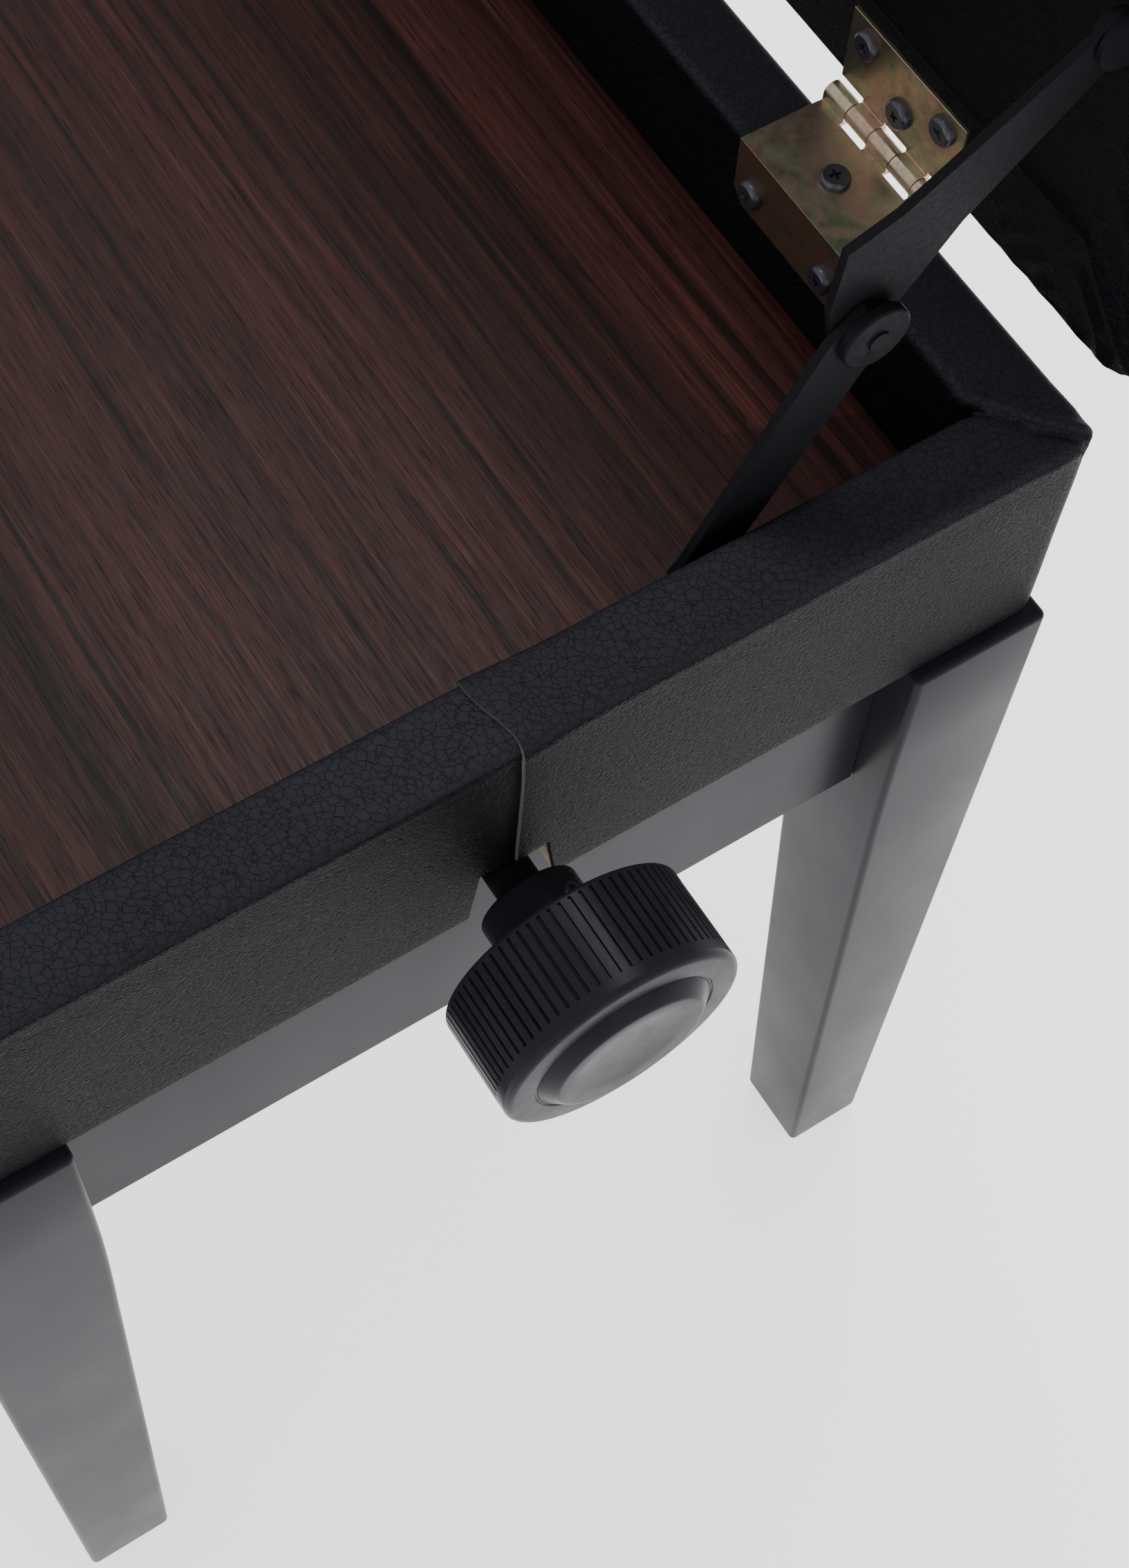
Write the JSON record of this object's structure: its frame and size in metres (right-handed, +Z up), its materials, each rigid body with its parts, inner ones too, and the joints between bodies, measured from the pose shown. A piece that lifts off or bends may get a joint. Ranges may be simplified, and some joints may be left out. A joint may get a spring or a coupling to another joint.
{
  "type": "piano bench",
  "caption": "Height-adjustable piano bench with a hinged padded lid over a shallow storage box, a screw-driven scissor lift with a knob at each end, and tapered legs.",
  "frame": {"origin": "on the floor, under the middle of the bench's outline as stored, lid open and seat lowered", "axes": "+X along the bench towards the right-hand knob as seen from the front, +Y towards the lid hinges at the back, +Z up"},
  "size_m": [0.653, 0.382, 0.7644],
  "materials": {
    "black_lacquer": "satin to gloss black lacquer",
    "bare_wood": "planed, unfinished",
    "wall_board": "sawn board edge, unfinished",
    "rosewood_laminate": "satin dark red-brown laminate, grain along the bench",
    "leatherette": "pebble-grained black leatherette, satin",
    "lining": "thin black leatherette",
    "foam": "open-cell foam",
    "yellow_zinc": "yellow zinc plating with a slight rainbow",
    "zinc_steel": "bright zinc plating",
    "black_steel": "black coated sheet steel",
    "black_screws": "black oxide",
    "bronze": "sintered bronze",
    "knob_plastic": "black moulded plastic, semi-gloss",
    "nylon": "matte",
    "rubber_pads": "matte"
  },
  "bodies": {
    "base": {"leg_rear_right": "black_lacquer", "leg_rear_left": "black_lacquer", "leg_front_right": "black_lacquer", "leg_front_left": "black_lacquer", "apron_rear": "black_lacquer", "apron_front": "black_lacquer", "apron_right": "black_lacquer", "apron_left": "black_lacquer", "corner_braces": "bare_wood", "leg_bolts_and_nuts": "zinc_steel", "foot_glides": "nylon", "lower_rail_rear": "black_steel", "lower_rail_front": "black_steel", "base_screws": "black_screws", "bearing_brackets": "black_steel", "bearing_bushes": "bronze"},
    "spindle_body": {"spindle": "black_steel", "knob_right": "knob_plastic", "knob_left": "knob_plastic", "knob_set_screws": "black_screws", "shaft_collars": "zinc_steel"},
    "nut_left": {"nut_bar_left": "zinc_steel"},
    "nut_right": {"nut_bar_right": "zinc_steel"},
    "arms_a": {"arm_a_rear": "black_steel", "arm_a_front": "black_steel", "arm_a_rivets": "black_steel"},
    "arms_b": {"arm_b_rear": "black_steel", "arm_b_front": "black_steel", "arm_b_rivets": "black_steel"},
    "box": {"wall_rear": "wall_board", "wall_front": "wall_board", "wall_right": "wall_board", "wall_left": "wall_board", "box_cover": "leatherette", "storage_floor": "rosewood_laminate", "floor_cleats": "bare_wood", "upper_rail_rear": "black_steel", "upper_rail_front": "black_steel", "upper_rail_screws": "black_screws", "hinge_box_leaf_right": "yellow_zinc", "hinge_box_leaf_left": "yellow_zinc", "box_hinge_screws": "black_screws", "hinge_pins": "yellow_zinc", "stay_studs": "black_steel"},
    "lid": {"seat_board": "wall_board", "seat_foam": "foam", "seat_cover": "leatherette", "lid_lining": "lining", "lid_screws": "black_screws", "hinge_lid_leaf_right": "yellow_zinc", "hinge_lid_leaf_left": "yellow_zinc", "stay_brackets": "black_steel", "lid_bumpers": "rubber_pads"},
    "stay_lower_right": {"stay_lower_arm_right": "black_steel", "stay_disc_right": "black_steel"},
    "stay_lower_left": {"stay_lower_arm_left": "black_steel", "stay_disc_left": "black_steel"},
    "stay_upper_right": {"stay_upper_arm_right": "black_steel"},
    "stay_upper_left": {"stay_upper_arm_left": "black_steel"}
  },
  "joints": [
    {"name": "box_lift", "type": "slide", "parent": "base", "child": "box", "axis": [0, 0, 1], "range_m": [0, 0.08]},
    {"name": "spindle_turn", "type": "hinge", "parent": "base", "child": "spindle_body", "pos_m": [0, -0.03095, 0.372], "axis": [1, 0, 0], "range_deg": [0, 1553]},
    {"name": "nut_left_slide", "type": "slide", "parent": "base", "child": "nut_left", "axis": [1, 0, 0], "range_m": [0, 0.00863]},
    {"name": "nut_right_slide", "type": "slide", "parent": "base", "child": "nut_right", "axis": [-1, 0, 0], "range_m": [0, 0.00863]},
    {"name": "arms_a_swing", "type": "hinge", "parent": "nut_left", "child": "arms_a", "pos_m": [-0.16436, -0.03095, 0.345], "axis": [0, -1, 0], "range_deg": [0, 14.25]},
    {"name": "arms_b_swing", "type": "hinge", "parent": "nut_right", "child": "arms_b", "pos_m": [0.16436, -0.03095, 0.345], "axis": [0, 1, 0], "range_deg": [0, 14.25]},
    {"name": "lid_hinge", "type": "hinge", "parent": "box", "child": "lid", "pos_m": [0, 0.13255, 0.4384], "axis": [1, 0, 0], "range_deg": [0, 90]},
    {"name": "stay_lower_right_swing", "type": "hinge", "parent": "box", "child": "stay_lower_right", "pos_m": [0.2466, 0.03455, 0.414], "axis": [1, 0, 0], "range_deg": [0, 124.05]},
    {"name": "stay_lower_left_swing", "type": "hinge", "parent": "box", "child": "stay_lower_left", "pos_m": [-0.2466, 0.03455, 0.414], "axis": [1, 0, 0], "range_deg": [0, 124.05]},
    {"name": "stay_upper_right_swing", "type": "hinge", "parent": "lid", "child": "stay_upper_right", "pos_m": [0.2438, 0.12705, 0.54], "axis": [-1, 0, 0], "range_deg": [0, 118.15]},
    {"name": "stay_upper_left_swing", "type": "hinge", "parent": "lid", "child": "stay_upper_left", "pos_m": [-0.2438, 0.12705, 0.54], "axis": [-1, 0, 0], "range_deg": [0, 118.15]}
  ],
  "couplings": [
    {"joint": "spindle_turn", "follows": "box_lift", "rad_per_m": 338.6},
    {"joint": "nut_left_slide", "follows": "box_lift", "ratio": 0.10778},
    {"joint": "nut_right_slide", "follows": "box_lift", "ratio": 0.10778},
    {"joint": "arms_a_swing", "follows": "box_lift", "rad_per_m": 3.1079},
    {"joint": "arms_b_swing", "follows": "box_lift", "rad_per_m": 3.1079},
    {"joint": "stay_lower_right_swing", "follows": "lid_hinge", "ratio": 1.3778},
    {"joint": "stay_lower_left_swing", "follows": "lid_hinge", "ratio": 1.3778},
    {"joint": "stay_upper_right_swing", "follows": "lid_hinge", "ratio": 1.3122},
    {"joint": "stay_upper_left_swing", "follows": "lid_hinge", "ratio": 1.3122}
  ]
}
